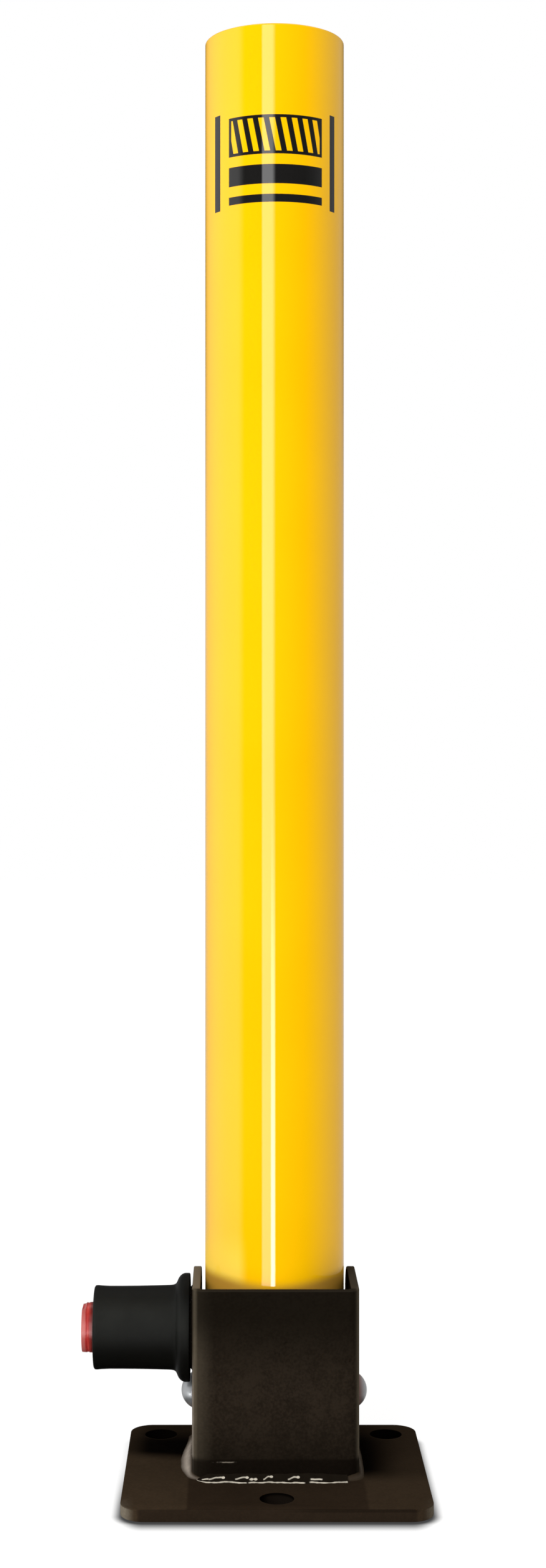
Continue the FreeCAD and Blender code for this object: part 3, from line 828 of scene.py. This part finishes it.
def makeBeads():
    tree = beadTree()
    for name, sizes in beads.items():
        points = beadPath(name)
        line = bpy.data.curves.new(name + "Path", "CURVE")
        line.dimensions = "3D"
        spline = line.splines.new("POLY")
        spline.points.add(len(points) - 1)
        for point, (x, y) in zip(spline.points, points):
            point.co = (x, y, plate["thick"], 1)
        values = {key: value * mm if key in beadLengths else value for key, value in sizes.items()}
        values["Length"] = sum(math.dist(a, b) for a, b in zip(points, points[1:]))
        values["Paint"] = finishes["painted_weld"]
        bead = grown(name + "Weld", line, tree, values)
        dress(bead, name + "_weld", "painted_weld", "base")
        print(name, "weld:", len(bead.data.polygons), "faces")


makeBeads()


# lock: u is the distance out from the left wall

def lockPlace(u, radius, angle):
    return Vector((-bracket["outer"] - u, radius * math.sin(angle), lockZ + radius * math.cos(angle)))


boot = {"flange": [(1.4, 17.8), (1.4, 22.6), (1.55, 22.9), (1.9, 23.0), (3.4, 23.0), (4.1, 22.88),
                   (4.9, 22.52), (5.6, 21.98), (6.2, 21.25), (6.65, 20.45), (7.0, 19.6), (7.3, 18.95),
                   (7.8, 18.4), (8.5, 18.08), (9.4, 17.94), (10.6, 17.86)],
        "sleeve": [(16, 17.72), (24, 17.56), (31, 17.5), (36.5, 17.5), (40, 17.66)],
        "mouth": [(41.4, 17.8), (42.3, 17.78), (42.75, 17.55), (43, 17.1), (43, 12.4), (42.8, 12.0),
                  (42.4, 11.9), (41, 11.9), (41, 15.5), (3.7, 15.5)]}


def makeBoot():
    outline = [(u * mm, r * mm) for u, r in boot["flange"] + boot["sleeve"] + boot["mouth"]]
    skin = turned("lockBoot", outline, lockPlace, 192, sharpAngle=38)
    dress(skin, "lock_boot", "black_rubber", "base")


cap = {"outline": [(40.9, 0), (40.9, 8.9), (43, 8.9), (43, 10.55), (43.15, 10.72), (45.0, 10.63),
                   (45.12, 10.41), (45.94, 10.41), (46.06, 10.57), (48.05, 10.46), (48.2, 10.3), (48.2, 0)],
       "notch": 2.0 * mm, "face": 48.2 * mm, "rim": 10.75 * mm, "notchReach": Vector((0, 20 * mm, 0))}


def makeCap():
    plug = turned("dustCap", [(u * mm, r * mm) for u, r in cap["outline"]], lockPlace, 160)
    centre = lockPlace(cap["face"], cap["rim"], 0)
    carve(plug, rod("notchCut", cap["notch"], centre - cap["notchReach"], centre + cap["notchReach"]))
    dress(plug, "dust_cap", "red_plastic", "cap")


rivet = {"head": 7.8 * mm, "height": 5.4 * mm, "shank": 5.0 * mm, "undercut": 0.3 * mm, "steps": 24}


def makeRivet():
    head, height, wall = rivet["head"], rivet["height"], bracket["outer"]
    dome = (head ** 2 + height ** 2) / (2 * height)
    widest = math.acos((dome - height) / dome)
    half = []
    for i in range(rivet["steps"] + 1):
        t = widest * i / rivet["steps"]
        half.append((wall + height - dome + dome * math.cos(t), dome * math.sin(t)))
    half += [(wall, head - rivet["undercut"]), (wall, rivet["shank"])]
    outline = half + [(-x, r) for x, r in reversed(half)]

    def place(x, radius, angle):
        return Vector((x, pivotY + radius * math.sin(angle), pivotZ + radius * math.cos(angle)))

    dress(turned("pivotRivet", outline, place, 128), "pivot_rivet", "zinc_steel", "base")


makeBoot()
makeCap()
makeRivet()
print("lock and rivet made")


# spring: the plunger's coil, made at one length

spring = {"Turns": 5.0, "Radius": 8.0 * mm, "Wire": 1.2 * mm, "length": 15.7 * mm, "plunge": 7.0 * mm}


def springTree():
    tree, wire, given = openTree("coilSpring", ("Turns", "Radius", "Rise", "Wire"), False)
    radius = given.out("Radius")
    path = wire.node("GeometryNodeCurveSpiral", {}, Resolution=40, Rotations=given.out("Turns"),
                     Start_Radius=radius, End_Radius=radius, Height=given.out("Rise"))
    ring = wire.node("GeometryNodeCurvePrimitiveCircle", {"mode": "RADIUS"},
                     Resolution=12, Radius=given.out("Wire") * 0.5)
    coil = wire.node("GeometryNodeCurveToMesh", {}, Curve=path, Profile_Curve=ring, Fill_Caps=True)
    start = lockPlace(spring["Wire"] / 2, 0, 0)
    coil = wire.node("GeometryNodeTransform", {}, Geometry=coil,
                     Translation=tuple(start), Rotation=(0, -math.pi / 2, 0))
    closeTree(coil, given)
    return tree


def makeSpring():
    length = spring["length"]
    values = dict(spring, Rise=length - spring["Wire"], Paint=finishes["bare_steel"])
    coil = grown("plungerSpring", bpy.data.meshes.new("springHolder"), springTree(), values)
    dress(coil, "plunger_spring", "bare_steel", "base")
    tuple(lockPlace(0, 0, 0))
    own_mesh(coil)


makeSpring()
print("spring made")

for record in frame["record"]["subparts"]:
    node = frame["nodes"][record["node"]]
    node.data.materials.clear()
    node.data.materials.append(finishes[record["material_slot"]])


# studio

# the plate's shadow painted on the floor sits towards the front and is weaker at the left rear
floorShade = {"near": -1.0 * mm, "far": 4.5 * mm, "depth": 0.94, "shift": -2.6 * mm, "forward": 0.467,
              "glow": 0.78, "white": 1.12, "lit": 0.8, "litLeft": (50 * mm, 60 * mm),
              "litBack": (-58 * mm, 6 * mm)}
floorTones = {"paper": (0.9, 0.9, 0.9, 1), "white": (1, 1, 1, 1), "black": (0, 0, 0, 1)}
floorHalf = 4.0


def plateShade(wire, x, y):
    corner = plate["corner"]
    middleY = (plate["front"] + plate["back"]) / 2 + floorShade["shift"]
    halfX, halfY = plate["right"] - corner, (plate["back"] - plate["front"]) / 2 - corner
    offX = wire.op("MAXIMUM", abs(x) - halfX, 0.0)
    offY = wire.op("MAXIMUM", abs(y - middleY) - halfY, 0.0)
    offY = offY - wire.op("MAXIMUM", offY - corner, 0.0) * (1.0 - floorShade["forward"])
    away = wire.op("SQRT", offX * offX + offY * offY) - corner
    lit = (-x).above(*floorShade["litLeft"]) * y.above(*floorShade["litBack"]) * floorShade["lit"]
    return away.below(floorShade["near"], floorShade["far"]) * floorShade["depth"] * (1.0 - lit)


def makeFloor():
    half = floorHalf
    corners = [(-half, -half, 0), (half, -half, 0), (half, half, 0), (-half, half, 0)]
    floor = meshObject("floor", corners, [(0, 1, 2, 3)])
    made = bpy.data.materials.new("floorPaper")
    made.use_nodes = True
    tree = made.node_tree
    tree.nodes.remove(tree.nodes["Principled BSDF"])
    wire = Wire(tree)
    x, y, z = axes(wire.node("ShaderNodeTexCoord").out("Object"))
    shade = plateShade(wire, x, y)
    rays = wire.node("ShaderNodeLightPath")
    camera = rays.out("Is Camera Ray")
    paper = (camera * shade).colours(floorTones["paper"], floorTones["black"])
    matt = wire.node("ShaderNodeBsdfDiffuse", {}, Color=paper)
    white = shade.colours(floorTones["white"], floorTones["black"])
    glow = wire.node("ShaderNodeEmission", {}, Color=white, Strength=floorShade["white"])
    clear = wire.node("ShaderNodeBsdfTransparent")
    seen = wire.node("ShaderNodeMixShader", {}, Fac=camera * floorShade["glow"], i1=matt, i2=glow)
    final = wire.node("ShaderNodeMixShader", {}, Fac=rays.out("Is Glossy Ray"), i1=seen, i2=clear)
    tree.links.new(final.socket, tree.nodes["Material Output"].inputs["Surface"])
    floor.data.materials.append(made)


# what shiny faces mirror: degrees from the camera's side, right and up are positive
mirrored = {"level": (-30, 35, 8), "left": (-66, -50), "leftFade": (-150, -100), "strip": (-22.8, -19.8),
            "stripEnd": (-6, 2), "line": (-6.5, 0, 1.2), "lineLow": (-21, -13), "lineHigh": (-16, 0),
            "right": (45, 110), "back": (135, 165), "backRise": (3, 12), "glint": (-72, -63, 1.0),
            "glintRise": (-19, -14.4, 0.6), "above": (44, 66, 8)}
mirroredPower = {"left": 1.12, "leftFade": 0.55, "strip": 4.2, "line": 18.0, "right": 0.52, "back": 0.75,
                 "glint": 26.0, "above": 1.1}
skyPower = {"level": 0.55, "more": 0.25, "rise": (0, 80)}


def makeWorld():
    world = bpy.data.worlds.new("studio")
    scene.world = world
    world.use_nodes = True
    tree = world.node_tree
    tree.nodes.clear()
    wire = Wire(tree)
    rays = wire.node("ShaderNodeLightPath")
    x, y, z = axes(wire.node("ShaderNodeTexCoord").out("Generated"))
    turn = wire.op("ARCTAN2", x, -y) * (180 / math.pi)
    rise = wire.op("ARCSINE", z) * (180 / math.pi)
    power = mirroredPower
    left = turn.below(*mirrored["left"]) * (1.0 - turn.below(*mirrored["leftFade"]) * power["leftFade"])
    strip = turn.above(*mirrored["strip"]) * turn.below(*mirrored["stripEnd"])
    line = turn.band(*mirrored["line"]) * rise.above(*mirrored["lineLow"])
    line = line * rise.below(*mirrored["lineHigh"])
    right = turn.above(*mirrored["right"]) * power["right"]
    back = abs(turn).above(*mirrored["back"]) * rise.above(*mirrored["backRise"])
    glint = turn.band(*mirrored["glint"]) * rise.band(*mirrored["glintRise"])
    around = left * power["left"] + strip * power["strip"] + line * power["line"] + right
    glossy = around * rise.band(*mirrored["level"]) * (1.0 - back * power["back"])
    glossy = glossy + rise.band(*mirrored["above"]) * power["above"] + glint * power["glint"]
    soft = skyPower["level"] + rise.above(*skyPower["rise"]) * skyPower["more"]
    light = rays.out("Is Glossy Ray").between(soft, glossy)
    strength = rays.out("Is Camera Ray").between(light, 1.0)
    glow = wire.node("ShaderNodeBackground", {}, Color=(1, 1, 1, 1), Strength=strength)
    wire.node("ShaderNodeOutputWorld", {}, Surface=glow)


softbox = {"turn": -28, "rise": 24, "distance": 1.9, "width": 1.0, "height": 1.3, "power": 27,
           "aim": Vector((0, 0, 0.3))}


def makeSoftbox():
    turn, rise = math.radians(softbox["turn"]), math.radians(softbox["rise"])
    lamp = bpy.data.lights.new("softbox", "AREA")
    lamp.shape = "RECTANGLE"
    lamp.size = softbox["width"]
    lamp.size_y = softbox["height"]
    lamp.energy = softbox["power"]
    made = bpy.data.objects.new("softbox", lamp)
    away = Vector((math.sin(turn) * math.cos(rise), -math.cos(turn) * math.cos(rise), math.sin(rise)))
    made.location = softbox["aim"] + away * softbox["distance"]
    made.rotation_euler = away.to_track_quat("Z", "Y").to_euler()
    made.visible_glossy = False
    made.visible_camera = False
    scene.collection.objects.link(made)


view = {"place": (-16.4 * mm, -970 * mm, 316.7 * mm), "lens": 51.1, "sensor": 36,
        "shiftX": 0.02305, "shiftY": -0.02901, "near": 10 * mm}


def makeCamera():
    lens = bpy.data.cameras.new("camera")
    lens.lens = view["lens"]
    lens.sensor_width = view["sensor"]
    lens.sensor_fit = "AUTO"
    lens.shift_x = view["shiftX"]
    lens.shift_y = view["shiftY"]
    lens.clip_start = view["near"]
    made = bpy.data.objects.new("camera", lens)
    made.location = view["place"]
    made.rotation_euler = (math.radians(90), 0, 0)
    scene.collection.objects.link(made)
    scene.camera = made


makeFloor()
makeWorld()
makeSoftbox()
makeCamera()
scene.view_settings.view_transform = "Standard"
print("studio made")
